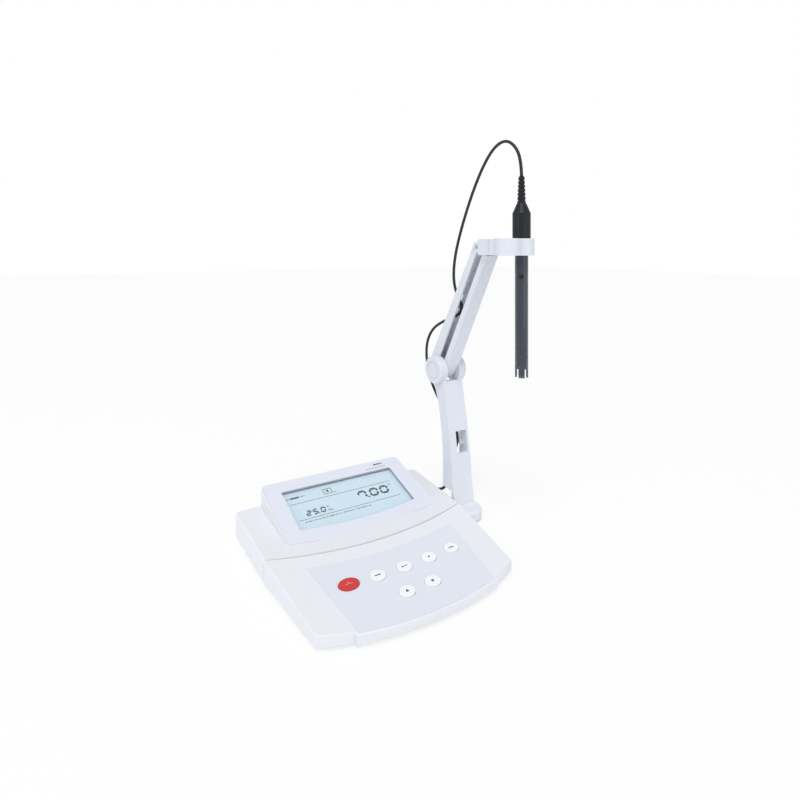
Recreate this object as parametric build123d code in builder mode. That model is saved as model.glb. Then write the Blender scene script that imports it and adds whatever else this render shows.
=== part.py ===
"""Bench pH meter: a wedge-shaped console with a swivelling electrode arm, an electrode and its lead.

Everything is laid out about a point on the table under the middle of the console: +X to its right, +Y to its
back, +Z up. Each finished piece is then moved by FRAME, so that the origin is on the table under the middle of
the whole instrument, lead and plug not counted. All sizes are in millimetres.
"""
from build123d import *
from math import atan, cos, degrees, pi, radians, sin, tan
import os

os.makedirs("parts", exist_ok=True)

# ---------------------------------------------------------------- driving dimensions: console
HALF_DEPTH = 94.0            # the console is 188 deep
REAR_HALF = 105.0            # and 210 wide at the back
SEAM_HALF = 102.0
WING_HALF = 91.2
WING_Y = -75.6
BULGE_HALF = 65.0            # the keypad part stands forward of the two wings
FRONT_R = 300.0              # the whole front is one shallow arc
WING_SETBACK = 2.4
SEAM_R = 333.0               # arc of the joint between the two upper covers
SEAM_MID_Y = -7.5
SEAM_GAP = 0.5
FLOOR_Z = 2.5                # underside of the case, on its rubber feet
COVER_Z = 5.0                # the covers stand on the bottom case here
SEAM_Z = 21.6                # height of the deck at the joint
REAR_SLOPE = 0.019           # rise per mm towards the back
FRONT_SLOPE = 0.114
WALL = 2.4
CORNER_R = 7.0

# display hood and panel
HOOD_HALF = 79.6
HOOD_FRONT_Y = 16.4
HOOD_FRONT_R = 430.0
DISPLAY_SLOPE = 0.258
DISPLAY_Z = 22.4             # height of the display plane above the front corners of the hood
RIM = 1.5                    # white edge of the hood round the panel
PANEL_T = 1.6
WINDOW_HALF = 62.2
WINDOW_Y = (28.8, 79.0)
WINDOW_R = 420.0
GLASS_T = 1.5
LCD_T = 2.4
BACKLIGHT_T = 3.0

# keypad
OVERLAY_REAR = (73.0, -14.0)
OVERLAY_FRONT = (62.6, -86.2)
OVERLAY_T = 0.8
OVERLAY_PROUD = 0.15
KEY_TRAVEL = 0.7
KEY_PROUD = 0.85
KEY_GAP = 0.25
KEYS = {                     # name: (x, y, half length, half width)
    "power_key": (-49.3, -43.8, 9.0, 6.2),
    "mode_key": (-23.8, -45.0, 6.9, 5.6),
    "calibrate_key": (1.5, -45.2, 6.9, 5.6),
    "hold_key": (26.8, -44.4, 6.9, 5.6),
    "enter_key": (52.0, -42.6, 6.9, 5.6),
    "up_key": (-11.0, -68.4, 6.9, 5.6),
    "down_key": (13.6, -68.0, 6.9, 5.6),
}

# ---------------------------------------------------------------- driving dimensions: arm
ARM_X = 118.3                # middle plane of the arm
SWIVEL_Y = 16.0
TURRET_R = 15.6
TURRET_TOP = 11.6
COLUMN_W = 25.6
COLUMN_WALL = 3.4
COLUMN_BASE_Z = 25.6         # above this the column may pass over the console
FORK_GAP = 15.8
FORK_Z = 136.4
ELBOW = (51.3, 147.0)        # y, z of the middle of the elbow's ears
EAR_R = 14.7
REAR_PIVOT = (60.8, 150.3)   # y, z of the rear link's pivot at the elbow
PIVOT_GAP = 13.24            # from the rear link's pivot to the front link's, at both ends of the links
PIVOT_TILT = 37.0            # the front link's pivot lies forward and this many degrees down
LINK_L = 147.5
LINK_LEAN = 27.7             # degrees forward from upright, as stored
LINK_W = 15.0
REAR_LINK_BACK = (10.0, 4.9) # from the pivot line to the back face, at the elbow and at the holder
REAR_LINK_FRONT = (3.0, 2.6)
REAR_HEEL_R = 4.6
FRONT_LINK_BACK = 1.7
FRONT_LINK_FRONT = (6.3, 4.2)
FRONT_HEEL_R = 4.6
FRONT_HEAD_R = 3.2
REAR_HEAD_R = 5.5
LINK_WALL = 2.0
ELBOW_PIN_R = 2.5
TOP_PIN_R = 2.0
FIT = 0.05                   # radial clearance of every running fit
HOLDER_Z = (273.0, 288.7)
LOBE_Y = -51.8
LOBE_X = 9.0
LOBE_R = 11.5

# electrode and its lead
TUBE_R = 6.0
TUBE_END_Z = 159.6
CAP_R = 8.2
CAP_TOP_Z = 321.6
RELIEF_TOP_Z = 347.3
LEAD_R = 1.5
COIL_MEAN_R = 17.0
COIL_TURNS = 3.5
COIL_CENTRE = (-12.0, 124.0)
BNC = (40.0, 13.6)           # x, z of the electrode socket

FRAME = Pos(-17.025, -4.5, 0)

# ---------------------------------------------------------------- planes and outlines
def sloping(y, z, slope):
    """A plane through (0, y, z) that rises towards the back."""
    return Plane(origin=(0, y, z), x_dir=(1, 0, 0), z_dir=(0, -slope, 1))


rear_deck = sloping(SEAM_MID_Y + 16, SEAM_Z, REAR_SLOPE)
front_deck = sloping(SEAM_MID_Y + 16, SEAM_Z, FRONT_SLOPE)
display_deck = sloping(HOOD_FRONT_Y, DISPLAY_Z, DISPLAY_SLOPE)


def deck_point(plane, slope, x, y):
    """The point of a sloping plane above (x, y)."""
    return (x, y, plane.origin.Z + slope * (y - plane.origin.Y))


def on_deck(plane, slope, x, y, height=0.0):
    """A plane parallel to a deck, at a point above (x, y), raised along the deck's normal."""
    return Plane(origin=deck_point(plane, slope, x, y), x_dir=(1, 0, 0), z_dir=plane.z_dir).offset(height)


def arc_y(radius, nearest, x):
    """y at x of an arc that is nearest to the front at x = 0."""
    return nearest + radius - (radius**2 - x**2) ** 0.5


wing_front = -HALF_DEPTH + WING_SETBACK
bulge_y = arc_y(FRONT_R, -HALF_DEPTH, BULGE_HALF)
step_y = arc_y(FRONT_R, wing_front, BULGE_HALF)

with BuildSketch() as console_outline:
    with BuildLine():
        Polyline((0, HALF_DEPTH), (REAR_HALF, HALF_DEPTH), (SEAM_HALF, SEAM_MID_Y + 16), (WING_HALF, WING_Y))
        ThreePointArc((WING_HALF, WING_Y), (78.0, arc_y(FRONT_R, wing_front, 78.0) + 0.6), (BULGE_HALF, step_y))
        Line((BULGE_HALF, step_y), (BULGE_HALF, bulge_y))
        ThreePointArc((BULGE_HALF, bulge_y), (32.0, arc_y(FRONT_R, -HALF_DEPTH, 32.0)), (0, -HALF_DEPTH))
        mirror(about=Plane.YZ)
    make_face()
    corners = console_outline.vertices()
    fillet([v for v in corners if abs(v.X) > 100 and v.Y > 80], CORNER_R)
    fillet([v for v in corners if abs(v.X) > 90 and v.Y < -70], CORNER_R)
    fillet([v for v in corners if abs(v.Y - bulge_y) < 0.01], 2.0)

with BuildSketch() as inner_outline:
    add(console_outline.sketch)
    offset(amount=-WALL, kind=Kind.INTERSECTION)

with BuildSketch() as hood_outline:
    hood_mid_y = HOOD_FRONT_Y - (HOOD_FRONT_R - (HOOD_FRONT_R**2 - HOOD_HALF**2) ** 0.5)
    with BuildLine():
        Polyline((0, HALF_DEPTH - 0.4), (HOOD_HALF, HALF_DEPTH - 0.4), (HOOD_HALF - 0.8, HOOD_FRONT_Y))
        hood_quarter = (40.0, arc_y(HOOD_FRONT_R, hood_mid_y, 40.0))
        ThreePointArc((HOOD_HALF - 0.8, HOOD_FRONT_Y), hood_quarter, (0, hood_mid_y))
        mirror(about=Plane.YZ)
    make_face()
    fillet([v for v in hood_outline.vertices() if v.Y > 80], 6.0)
    fillet([v for v in hood_outline.vertices() if abs(v.X) > 70 and v.Y < 20], 2.5)

with BuildSketch() as window_outline:
    window_mid_y = WINDOW_Y[0] - 4.6
    with BuildLine():
        Polyline((0, WINDOW_Y[1]), (WINDOW_HALF, WINDOW_Y[1]), (WINDOW_HALF - 0.6, WINDOW_Y[0]))
        window_quarter = (31.0, arc_y(WINDOW_R, window_mid_y, 31.0))
        ThreePointArc((WINDOW_HALF - 0.6, WINDOW_Y[0]), window_quarter, (0, window_mid_y))
        mirror(about=Plane.YZ)
    make_face()
    fillet(window_outline.vertices().filter_by(lambda v: abs(v.X) > 50), 1.5)

with BuildSketch() as overlay_outline:
    overlay_mid_y = OVERLAY_REAR[1] - 8.1
    overlay_front_y = -HALF_DEPTH + 1.5
    with BuildLine():
        ThreePointArc((0, overlay_mid_y), (36.0, arc_y(SEAM_R, overlay_mid_y, 36.0)), OVERLAY_REAR)
        Line(OVERLAY_REAR, OVERLAY_FRONT)
        ThreePointArc(OVERLAY_FRONT, (32.0, arc_y(FRONT_R, overlay_front_y, 32.0)), (0, overlay_front_y))
        mirror(about=Plane.YZ)
    make_face()
    fillet(overlay_outline.vertices().filter_by(lambda v: abs(v.X) > 50), 2.0)


def between(outline, plane, low, high, grow=0.0):
    """The outline, grown sideways, as a plate between two heights over a sloping plane."""
    with BuildPart() as plate:
        with BuildSketch():
            add(outline.sketch)
            if grow:
                offset(amount=grow, kind=Kind.INTERSECTION)
        extrude(amount=80)
        split(bisect_by=plane.offset(high), keep=Keep.BOTTOM)
        split(bisect_by=plane.offset(low), keep=Keep.TOP)
    return plate.part


def finish(piece, name):
    """Moves a piece into the instrument's frame, names it and writes it."""
    piece.part.label = name
    moved = FRAME * piece.part
    moved.label = name
    export_step(moved, f"parts/{name}.step")
    return piece


# ---------------------------------------------------------------- case screws, feet and bottom case
CASE_SCREWS = [(-90, 80), (90, 80), (-90, 38), (90, 38), (-78, -66), (78, -66)]
FEET = [(-88, 62), (88, 62), (-76, -48), (76, -48)]
BOARD_SCREWS = [(-58, 36), (58, 36), (-58, 78), (58, 78)]
BOSS_R = 4.4
BOSS_TOP = 7.4
FLOOR_T = 1.9
BOARD_Z = 8.6
BOARD_T = 1.6
BRACKET = (66.0, 13.0)       # left end and half width of the arm's bracket plate
BRACKET_T = 1.6
BRACKET_SCREWS = [(74.0, SWIVEL_Y + 7), (74.0, SWIVEL_Y - 7), (92.0, SWIVEL_Y)]
SCREW_R = 1.5

with BuildPart() as bottom_case:
    with BuildSketch(Plane.XY.offset(FLOOR_Z)):
        add(console_outline.sketch)
    extrude(amount=COVER_Z - FLOOR_Z)
    chamfer(bottom_case.faces().sort_by(Axis.Z)[0].edges(), 0.6)
    with BuildSketch(Plane.XY.offset(FLOOR_Z + FLOOR_T)):
        add(inner_outline.sketch)
    extrude(amount=5, mode=Mode.SUBTRACT)
    with BuildSketch(Plane.XY.offset(FLOOR_Z)):
        with Locations(*CASE_SCREWS):
            Circle(BOSS_R)
    extrude(amount=BOSS_TOP - FLOOR_Z)
    with BuildSketch(Plane.XY.offset(FLOOR_Z + FLOOR_T)):
        with Locations(*BOARD_SCREWS):
            Circle(3.2)
        with Locations(*BRACKET_SCREWS):
            Circle(3.6)
    extrude(amount=BOARD_Z - FLOOR_Z - FLOOR_T)
    with BuildSketch(Plane.XY.offset(FLOOR_Z)):
        with Locations(*CASE_SCREWS):
            Circle(SCREW_R + 0.15)
    extrude(amount=10, mode=Mode.SUBTRACT)
    with BuildSketch(Plane.XY.offset(FLOOR_Z)):
        with Locations(*CASE_SCREWS):
            Circle(3.0)
    extrude(amount=2.6, mode=Mode.SUBTRACT)
    with BuildSketch(Plane.XY.offset(FLOOR_Z + 0.6)):
        with Locations(*BOARD_SCREWS):
            Circle(1.25)
    extrude(amount=10, mode=Mode.SUBTRACT)
    with BuildSketch(Plane.XY.offset(FLOOR_Z)):
        with Locations(*BRACKET_SCREWS):
            Circle(SCREW_R)
    extrude(amount=4.4, mode=Mode.SUBTRACT)
finish(bottom_case, "bottom_case")


def screws(places, z_head, length, head_r, radius, down=False):
    """Cross-head screws, heads at z_head, with shanks that run up or, for down, into the part below."""
    way = -1 if down else 1
    with BuildPart() as group:
        for x, y in places:
            with BuildSketch(Plane.XY.offset(z_head)):
                with Locations((x, y)):
                    Circle(head_r)
            extrude(amount=-1.6 * way)
            with BuildSketch(Plane.XY.offset(z_head)):
                with Locations((x, y)):
                    Circle(radius)
            extrude(amount=length * way)
            with BuildSketch(Plane.XY.offset(z_head - 1.6 * way)):
                with Locations((x, y)):
                    Rectangle(head_r * 1.1, 0.7)
                    Rectangle(0.7, head_r * 1.1)
            extrude(amount=0.9 * way, mode=Mode.SUBTRACT)
    return group


finish(screws(CASE_SCREWS, FLOOR_Z + 2.6, 5.2, 2.7, 1.25), "case_screws")
finish(screws(BOARD_SCREWS, BOARD_Z + BOARD_T, 5.0, 2.5, 1.25, down=True), "board_screws")

with BuildPart() as feet:
    with BuildSketch():
        with Locations(*FEET):
            Circle(7.0)
    extrude(amount=FLOOR_Z)
    chamfer(feet.faces().filter_by(Axis.Z).group_by(Axis.Z)[0].edges(), 0.5)
finish(feet, "rubber_feet")

# ---------------------------------------------------------------- rear cover with the display hood
hood_form = between(hood_outline, display_deck, -40.0, 0.0)
hood_cavity = between(hood_outline, display_deck, -60.0, -PANEL_T - 1.4, grow=-WALL)
panel_pocket = between(hood_outline, display_deck, -PANEL_T, 3.0, grow=-RIM)
lcd_opening = between(window_outline, display_deck, -12.0, 3.0, grow=3.0)
rear_cavity = between(inner_outline, rear_deck, -40.0, -WALL)
SOCKETS = {                  # name: (x, z, hole radius)
    "electrode": (BNC[0], BNC[1], 4.75),
    "temperature": (8.0, 13.6, 3.5),
    "power": (-52.0, 13.6, 4.0),
}
USB_X = -22.0

with BuildPart() as rear_cover:
    with BuildSketch():
        add(console_outline.sketch)
        with Locations((0, SEAM_MID_Y + SEAM_R)):
            Circle(SEAM_R, mode=Mode.INTERSECT)
    extrude(amount=60)
    split(bisect_by=rear_deck, keep=Keep.BOTTOM)
    top_edges = rear_cover.faces().sort_by(Axis.Z)[-1].edges()
    seam_edge = top_edges.sort_by(SortBy.LENGTH)[-1]
    fillet([e for e in top_edges if e.length < 150], 2.2)
    add(hood_form)
    add(rear_cavity, mode=Mode.SUBTRACT)
    add(hood_cavity, mode=Mode.SUBTRACT)
    add(panel_pocket, mode=Mode.SUBTRACT)
    add(lcd_opening, mode=Mode.SUBTRACT)
    for x, y in CASE_SCREWS[:4]:
        with BuildSketch(Plane.XY.offset(BOSS_TOP + 0.1)):
            with Locations((x, y)):
                Circle(3.6)
        extrude(amount=SEAM_Z - BOSS_TOP - 0.3)
        with BuildSketch(Plane.XY.offset(BOSS_TOP)):
            with Locations((x, y)):
                Circle(1.25)
        extrude(amount=9, mode=Mode.SUBTRACT)
    for x, z, radius in SOCKETS.values():
        with BuildSketch(Plane.XZ.offset(-HALF_DEPTH - 2)):
            with Locations((x, z)):
                Circle(radius + 0.1)
        extrude(amount=6, mode=Mode.SUBTRACT)
    with BuildSketch(Plane.XZ.offset(-HALF_DEPTH - 2)):
        with Locations((USB_X, 13.6)):
            Rectangle(12.4, 11.2)
    extrude(amount=6, mode=Mode.SUBTRACT)
    split(bisect_by=Plane.XY.offset(COVER_Z), keep=Keep.TOP)
finish(rear_cover, "rear_cover")

# ---------------------------------------------------------------- front cover
overlay_pocket = between(overlay_outline, front_deck, -OVERLAY_T, 3.0, grow=0.05)
front_cavity = between(inner_outline, front_deck, -40.0, -WALL - 0.4)

with BuildPart() as front_cover:
    with BuildSketch():
        add(console_outline.sketch)
        with Locations((0, SEAM_MID_Y + SEAM_R)):
            Circle(SEAM_R + SEAM_GAP, mode=Mode.SUBTRACT)
    extrude(amount=60)
    split(bisect_by=front_deck, keep=Keep.BOTTOM)
    top_edges = front_cover.faces().sort_by(Axis.Z)[-1].edges()
    fillet([e for e in top_edges if e.length < 150], 0.9)
    add(front_cavity, mode=Mode.SUBTRACT)
    add(overlay_pocket, mode=Mode.SUBTRACT)
    for x, y, half_l, half_w in KEYS.values():
        with BuildSketch(on_deck(front_deck, FRONT_SLOPE, x, y)):
            Ellipse(half_l + 1.2, half_w + 1.2)
        extrude(amount=-4, mode=Mode.SUBTRACT)
    for x, y in CASE_SCREWS[4:]:
        with BuildSketch(Plane.XY.offset(BOSS_TOP + 0.1)):
            with Locations((x, y)):
                Circle(3.6)
        extrude(amount=3.6)
        with BuildSketch(Plane.XY.offset(BOSS_TOP)):
            with Locations((x, y)):
                Circle(1.25)
        extrude(amount=3.0, mode=Mode.SUBTRACT)
    split(bisect_by=Plane.XY.offset(COVER_Z), keep=Keep.TOP)
finish(front_cover, "front_cover")

# ---------------------------------------------------------------- display
panel_plate = between(hood_outline, display_deck, -PANEL_T, 0.1, grow=-RIM - 0.1)
window_hole = between(window_outline, display_deck, -10.0, 5.0)
window_plate = between(window_outline, display_deck, -PANEL_T - GLASS_T, -PANEL_T, grow=2.6)
lcd_under = -PANEL_T - GLASS_T - LCD_T
lcd_plate = between(window_outline, display_deck, lcd_under, lcd_under + LCD_T, grow=1.6)
light_plate = between(window_outline, display_deck, lcd_under - BACKLIGHT_T, lcd_under, grow=1.0)
overlay_plate = between(overlay_outline, front_deck, -OVERLAY_T, OVERLAY_PROUD)

with BuildPart() as display_panel:
    add(panel_plate)
    add(window_hole, mode=Mode.SUBTRACT)
finish(display_panel, "display_panel")

with BuildPart() as display_window:
    add(window_plate)
finish(display_window, "display_window")

with BuildPart() as lcd_glass:
    add(lcd_plate)
finish(lcd_glass, "lcd_glass")

with BuildPart() as lcd_backlight:
    add(light_plate)
finish(lcd_backlight, "lcd_backlight")

# ---------------------------------------------------------------- keypad: overlay, keys, mat and board
with BuildPart() as keypad_overlay:
    add(overlay_plate)
    for x, y, half_l, half_w in KEYS.values():
        with BuildSketch(on_deck(front_deck, FRONT_SLOPE, x, y, 2)):
            Ellipse(half_l + KEY_GAP, half_w + KEY_GAP)
        extrude(amount=-6, mode=Mode.SUBTRACT)
finish(keypad_overlay, "keypad_overlay")

for name, (x, y, half_l, half_w) in KEYS.items():
    with BuildPart() as key:
        with BuildSketch(on_deck(front_deck, FRONT_SLOPE, x, y, -1.0)):
            Ellipse(half_l, half_w)
        extrude(amount=1.0 + OVERLAY_PROUD + KEY_PROUD)
        fillet(key.faces().sort_by(Axis.Z)[-1].edges(), 0.4)
        with BuildSketch(on_deck(front_deck, FRONT_SLOPE, x, y, -2.0)):
            Ellipse(half_l + 0.8, half_w + 0.8)
        extrude(amount=1.0)
    finish(key, name)

MAT_TOP = -3.2
with BuildPart() as key_mat:
    with BuildSketch(on_deck(front_deck, FRONT_SLOPE, 1.0, -56.0, MAT_TOP)):
        RectangleRounded(128, 44, 3)
    extrude(amount=-1.0)
    for x, y, half_l, half_w in KEYS.values():
        with BuildSketch(on_deck(front_deck, FRONT_SLOPE, x, y, MAT_TOP)):
            Circle(3.2)
        extrude(amount=-MAT_TOP - 2.0 - KEY_TRAVEL - 0.06)
finish(key_mat, "key_mat")

with BuildPart() as key_board:
    with BuildSketch(on_deck(front_deck, FRONT_SLOPE, 1.0, -56.0, MAT_TOP - 1.0)):
        Rectangle(130, 46)
    extrude(amount=-1.2)
finish(key_board, "key_board")

# ---------------------------------------------------------------- main board and sockets
with BuildPart() as main_board:
    with BuildSketch(Plane.XY.offset(BOARD_Z)):
        with Locations((0, 57)):
            Rectangle(126, 58)
        with Locations(*BOARD_SCREWS):
            Circle(1.6, mode=Mode.SUBTRACT)
    extrude(amount=BOARD_T)
finish(main_board, "main_board")

with BuildPart() as board_parts:
    for x, y, length, width, height in (
        (-20, 50, 18, 18, 2.0), (24, 44, 12, 8, 1.6), (-44, 62, 8, 8, 6.0), (30, 62, 10, 10, 4.5),
        (4, 66, 14, 6, 2.4),
    ):
        with BuildSketch(Plane.XY.offset(BOARD_Z + BOARD_T)):
            with Locations((x, y)):
                Rectangle(length, width)
        extrude(amount=height)
finish(board_parts, "board_parts")


def socket_body(x, z, length, width):
    """The moulded body of a socket, from the board up to the inside of the back wall."""
    low = BOARD_Z + BOARD_T
    back = HALF_DEPTH - 0.4 - WALL
    return Pos(x, back - length / 2, (low + z + width / 2) / 2) * Box(width, length, z + width / 2 - low)


electrode_body = socket_body(BNC[0], BNC[1], 9.0, 13.0)
temperature_body = socket_body(SOCKETS["temperature"][0], SOCKETS["temperature"][1], 10.0, 9.0)
power_body = socket_body(SOCKETS["power"][0], SOCKETS["power"][1], 11.0, 9.0)
data_body = socket_body(USB_X, 13.6, 14.0, 12.0)

with BuildPart() as electrode_socket:
    add(electrode_body)
    with BuildSketch(Plane.XZ.offset(-HALF_DEPTH + WALL + 2)):
        with Locations((BNC[0], BNC[1])):
            Circle(4.75)
    extrude(amount=-WALL - 11.0)
    with BuildSketch(Plane.XZ.offset(-HALF_DEPTH)):
        with Locations((BNC[0], BNC[1])):
            RegularPolygon(7.0, 6)
    extrude(amount=-2.2)
    with BuildSketch(Plane.XZ.offset(-HALF_DEPTH - 5)):
        with Locations((BNC[0], BNC[1])):
            Rectangle(10.9, 1.8)
    extrude(amount=-2.0)
    with BuildSketch(Plane.XZ.offset(-HALF_DEPTH - 9.0)):
        with Locations((BNC[0], BNC[1])):
            Circle(4.0)
    extrude(amount=8.0, mode=Mode.SUBTRACT)
    with BuildSketch(Plane.XZ.offset(-HALF_DEPTH - 1.0)):
        with Locations((BNC[0], BNC[1])):
            Circle(2.4)
            Circle(0.9, mode=Mode.SUBTRACT)
    extrude(amount=-5.0)
finish(electrode_socket, "electrode_socket")

with BuildPart() as temperature_socket:
    x, z, radius = SOCKETS["temperature"]
    add(temperature_body)
    with BuildSketch(Plane.XZ.offset(-HALF_DEPTH + WALL + 2)):
        with Locations((x, z)):
            Circle(radius)
    extrude(amount=-WALL - 5.0)
    with BuildSketch(Plane.XZ.offset(-HALF_DEPTH - 3.0)):
        with Locations((x, z)):
            Circle(1.8)
    extrude(amount=12.0, mode=Mode.SUBTRACT)
finish(temperature_socket, "temperature_socket")

with BuildPart() as power_socket:
    x, z, radius = SOCKETS["power"]
    add(power_body)
    with BuildSketch(Plane.XZ.offset(-HALF_DEPTH + WALL + 2)):
        with Locations((x, z)):
            Circle(radius)
    extrude(amount=-WALL - 2.4)
    with BuildSketch(Plane.XZ.offset(-HALF_DEPTH - 1.0)):
        with Locations((x, z)):
            Circle(2.9)
            Circle(1.0, mode=Mode.SUBTRACT)
    extrude(amount=10.0, mode=Mode.SUBTRACT)
finish(power_socket, "power_socket")

with BuildPart() as data_socket:
    add(data_body)
    with BuildSketch(Plane.XZ.offset(-HALF_DEPTH + WALL + 2)):
        with Locations((USB_X, 13.6)):
            Rectangle(12.0, 10.8)
    extrude(amount=-WALL - 1.7)
    with BuildSketch(Plane.XZ.offset(-HALF_DEPTH - 1.0)):
        with Locations((USB_X, 13.6)):
            Rectangle(9.0, 8.0)
            Rectangle(5.6, 3.2, mode=Mode.SUBTRACT)
    extrude(amount=10.0, mode=Mode.SUBTRACT)
finish(data_socket, "data_socket")

# ---------------------------------------------------------------- bracket and swivel
with BuildPart() as arm_bracket:
    with BuildSketch(Plane.XY.offset(FLOOR_Z - BRACKET_T)):
        with Locations(((BRACKET[0] + ARM_X) / 2, SWIVEL_Y)):
            Rectangle(ARM_X - BRACKET[0], 2 * BRACKET[1])
        with Locations((ARM_X, SWIVEL_Y)):
            Circle(TURRET_R - 0.4)
    extrude(amount=BRACKET_T)
    fillet(arm_bracket.edges().filter_by(Axis.Z).group_by(Axis.X)[0], 3.0)
    with BuildSketch(Plane.XY.offset(FLOOR_Z)):
        with Locations(*BRACKET_SCREWS):
            Circle(SCREW_R + 0.1)
    extrude(amount=-5, mode=Mode.SUBTRACT)
    with Locations(*[(x, y, FLOOR_Z - BRACKET_T) for x, y in BRACKET_SCREWS]):
        Cone(3.0, SCREW_R, 1.3, align=(Align.CENTER, Align.CENTER, Align.MIN), mode=Mode.SUBTRACT)
finish(arm_bracket, "arm_bracket")

with BuildPart() as bracket_screws:
    with Locations(*[(x, y, FLOOR_Z - BRACKET_T) for x, y in BRACKET_SCREWS]):
        Cone(2.9, SCREW_R - 0.05, 1.25, align=(Align.CENTER, Align.CENTER, Align.MIN))
        Cylinder(SCREW_R - 0.05, 5.4, align=(Align.CENTER, Align.CENTER, Align.MIN))
finish(bracket_screws, "bracket_screws")

with BuildPart() as bracket_foot:
    with BuildSketch():
        with Locations((ARM_X, SWIVEL_Y)):
            Circle(TURRET_R - 1.6)
            Circle(4.0, mode=Mode.SUBTRACT)
    extrude(amount=FLOOR_Z - BRACKET_T)
finish(bracket_foot, "bracket_foot")

STUD_R = 4.0
BUSH_R = 6.0
STUD_TOP = 9.4
with BuildPart() as swivel_stud:
    with BuildSketch(Plane.XY.offset(FLOOR_Z)):
        with Locations((ARM_X, SWIVEL_Y)):
            Circle(8.0)
    extrude(amount=1.0)
    with BuildSketch(Plane.XY.offset(FLOOR_Z + 1.0)):
        with Locations((ARM_X, SWIVEL_Y)):
            Circle(STUD_R)
    extrude(amount=STUD_TOP - FLOOR_Z - 1.0)
finish(swivel_stud, "swivel_stud")

with BuildPart() as swivel_bush:
    with BuildSketch(Plane.XY.offset(FLOOR_Z + 1.2)):
        with Locations((ARM_X, SWIVEL_Y)):
            Circle(BUSH_R)
            Circle(STUD_R + FIT, mode=Mode.SUBTRACT)
    extrude(amount=STUD_TOP - FLOOR_Z - 1.2)
finish(swivel_bush, "swivel_bush")

# ---------------------------------------------------------------- lower arm: turret foot and column
COLUMN_X0 = ARM_X - COLUMN_W / 2
FRONT_EDGE = [(18.0, 10.0), (20.8, 23.0), (26.0, 67.0), (31.7, 101.0), (39.3, 138.6)]
BACK_EDGE = [(61.6, 138.6), (53.9, 128.4), (44.0, 98.0), (39.8, 68.0), (39.9, COLUMN_BASE_Z)]
TURRET_EDGE_R = 3.6
STEM_R = 15.3
STEM_BACK_Y = 30.8
STEM_LOW_Z = 10.0
COLUMN_WINDOW = (114.2, 128.2, 62.2, 85.0)
COLUMN_HOOK = (123.4, 32.6, 69.0)


def at_x(x):
    """The plane across the arm at x: sketch x is the row's y, and sketch y is z."""
    return Plane(origin=(x, 0, 0), x_dir=(0, 1, 0), z_dir=(1, 0, 0))


def front_of(point):
    """y and z of the front link's pivot that goes with a pivot of the rear link."""
    tilt = radians(PIVOT_TILT)
    return (point[0] - PIVOT_GAP * cos(tilt), point[1] - PIVOT_GAP * sin(tilt))


rear_pivot = REAR_PIVOT
front_pivot = front_of(rear_pivot)
lean = radians(LINK_LEAN)
rear_top = (rear_pivot[0] - LINK_L * sin(lean), rear_pivot[1] + LINK_L * cos(lean))
front_top = front_of(rear_top)

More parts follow.
